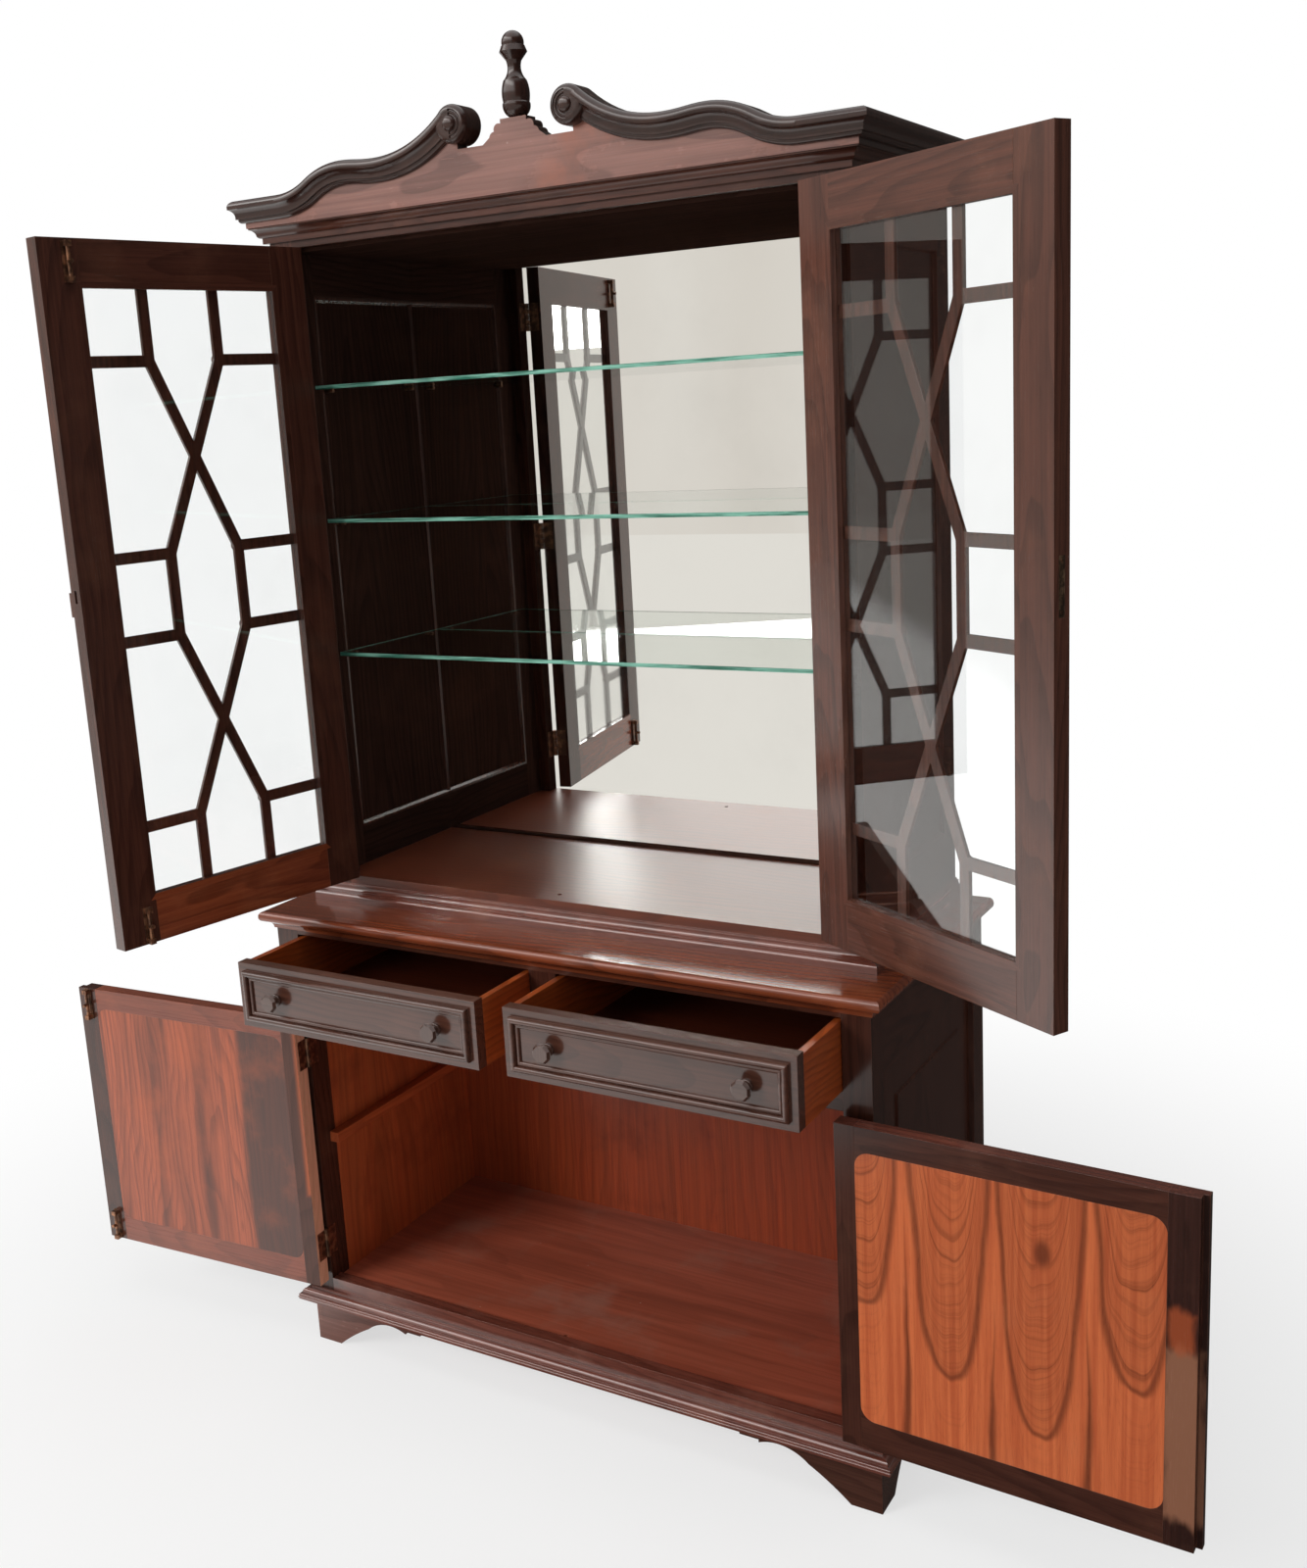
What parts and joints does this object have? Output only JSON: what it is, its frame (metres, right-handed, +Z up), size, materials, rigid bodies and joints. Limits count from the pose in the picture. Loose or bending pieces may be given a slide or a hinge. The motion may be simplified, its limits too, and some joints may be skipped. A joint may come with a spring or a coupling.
{
  "type": "chinese book cabinet",
  "caption": "Two-part hardwood display and book cabinet with glazed lattice doors, mirror back, glass shelves, drawers, cupboard doors and a swan-neck pediment, all open.",
  "frame": {"origin": "on the floor, under the middle of the bounding box of the open cabinet", "axes": "+Z up, the cabinet faces -Y, +X to the right of someone who faces it"},
  "size_m": [1.9616, 0.8232, 2.115],
  "materials": {
    "dark_polish": "dark French-polished hardwood, satin",
    "red_polish": "red-brown polished hardwood, glossy",
    "pale_figured": "figured hardwood, light brown sheen",
    "drawer_face": "dark polished hardwood, glossy",
    "drawer_wood": "plain orange-brown hardwood",
    "inner_wood": "stained inner board, matt",
    "veneer_orange": "figured rosewood veneer, satin",
    "door_inner": "streaky hardwood, satin",
    "clear_glass": "clear float glass",
    "shelf_glass": "clear glass with green edges",
    "mirror_glass": "silvered mirror",
    "brass": "aged brass"
  },
  "bodies": {
    "case": {"lower_top": "red_polish", "lower_side_right": "dark_polish", "lower_side_left": "dark_polish", "lower_front_rails": "dark_polish", "lower_floor": "inner_wood", "drawer_board": "inner_wood", "cupboard_battens": "inner_wood", "lower_back": "inner_wood", "lower_top_mould": "red_polish", "base_mould": "red_polish", "foot_front_left": "dark_polish", "foot_front_right": "dark_polish", "feet_rear": "dark_polish", "lower_case_hinges": "brass", "upper_side_right": "dark_polish", "upper_side_left": "dark_polish", "upper_floor": "red_polish", "upper_ceiling": "inner_wood", "frieze_rail": "red_polish", "mirror": "mirror_glass", "upper_back": "inner_wood", "glass_shelf_1": "shelf_glass", "glass_shelf_2": "shelf_glass", "glass_shelf_3": "shelf_glass", "shelf_pins": "brass", "upper_case_hinges": "brass", "tympanum": "pale_figured", "architrave_mould": "dark_polish", "upper_base_mould": "red_polish", "pediment_right": "dark_polish", "pediment_left": "dark_polish", "finial": "dark_polish"},
    "upper_left_door": {"upper_left_door_frame": "dark_polish", "upper_left_door_bars": "dark_polish", "upper_left_door_glass": "clear_glass", "upper_left_door_hinges": "brass", "upper_left_bolt_plates": "brass"},
    "upper_left_bolt_top": {"upper_left_bolt_top": "brass"},
    "upper_left_bolt_bottom": {"upper_left_bolt_bottom": "brass"},
    "upper_right_door": {"upper_right_door_frame": "dark_polish", "upper_right_door_bars": "dark_polish", "upper_right_door_glass": "clear_glass", "upper_right_door_hinges": "brass", "upper_right_lock": "brass"},
    "upper_right_lock_bolt": {"upper_right_lock_bolt": "brass"},
    "lower_left_door": {"lower_left_door_frame": "dark_polish", "lower_left_door_panel": "door_inner", "lower_left_door_hinges": "brass", "lower_left_bolt_plates": "brass"},
    "lower_left_bolt_top": {"lower_left_bolt_top": "brass"},
    "lower_left_bolt_bottom": {"lower_left_bolt_bottom": "brass"},
    "lower_right_door": {"lower_right_door_frame": "dark_polish", "lower_right_door_panel": "veneer_orange", "lower_right_door_hinges": "brass"},
    "drawer_left": {"drawer_left_front": "drawer_face", "drawer_left_box": "drawer_wood", "drawer_left_knobs": "drawer_face"},
    "drawer_right": {"drawer_right_front": "drawer_face", "drawer_right_box": "drawer_wood", "drawer_right_knobs": "drawer_face"}
  },
  "joints": [
    {"name": "upper_left_door_hinge", "type": "hinge", "parent": "case", "child": "upper_left_door", "pos_m": [-0.4475, 0.03184, 0], "axis": [0, 0, -1], "range_deg": [-101.3, 72.7]},
    {"name": "upper_right_door_hinge", "type": "hinge", "parent": "case", "child": "upper_right_door", "pos_m": [0.4475, 0.03184, 0], "axis": [0, 0, 1], "range_deg": [-151, 23]},
    {"name": "lower_left_door_hinge", "type": "hinge", "parent": "case", "child": "lower_left_door", "pos_m": [-0.4895, -0.06716, 0], "axis": [0, 0, -1], "range_deg": [-176.6, 1.9]},
    {"name": "lower_right_door_hinge", "type": "hinge", "parent": "case", "child": "lower_right_door", "pos_m": [0.4895, -0.06716, 0], "axis": [0, 0, 1], "range_deg": [-178, 0.5]},
    {"name": "drawer_left_slide", "type": "slide", "parent": "case", "child": "drawer_left", "axis": [0, -1, 0], "range_m": [-0.143, 0.18]},
    {"name": "drawer_right_slide", "type": "slide", "parent": "case", "child": "drawer_right", "axis": [0, -1, 0], "range_m": [-0.143, 0.18]},
    {"name": "upper_left_bolt_top_slide", "type": "slide", "parent": "upper_left_door", "child": "upper_left_bolt_top", "axis": [0, 0, 1], "range_m": [0, 0.014]},
    {"name": "upper_left_bolt_bottom_slide", "type": "slide", "parent": "upper_left_door", "child": "upper_left_bolt_bottom", "axis": [0, 0, -1], "range_m": [0, 0.014]},
    {"name": "lower_left_bolt_top_slide", "type": "slide", "parent": "lower_left_door", "child": "lower_left_bolt_top", "axis": [0, 0, 1], "range_m": [0, 0.014]},
    {"name": "lower_left_bolt_bottom_slide", "type": "slide", "parent": "lower_left_door", "child": "lower_left_bolt_bottom", "axis": [0, 0, -1], "range_m": [0, 0.014]},
    {"name": "upper_right_lock_bolt_slide", "type": "slide", "parent": "upper_right_door", "child": "upper_right_lock_bolt", "axis": [0.8746, -0.4848, 0], "range_m": [0, 0.008]}
  ]
}
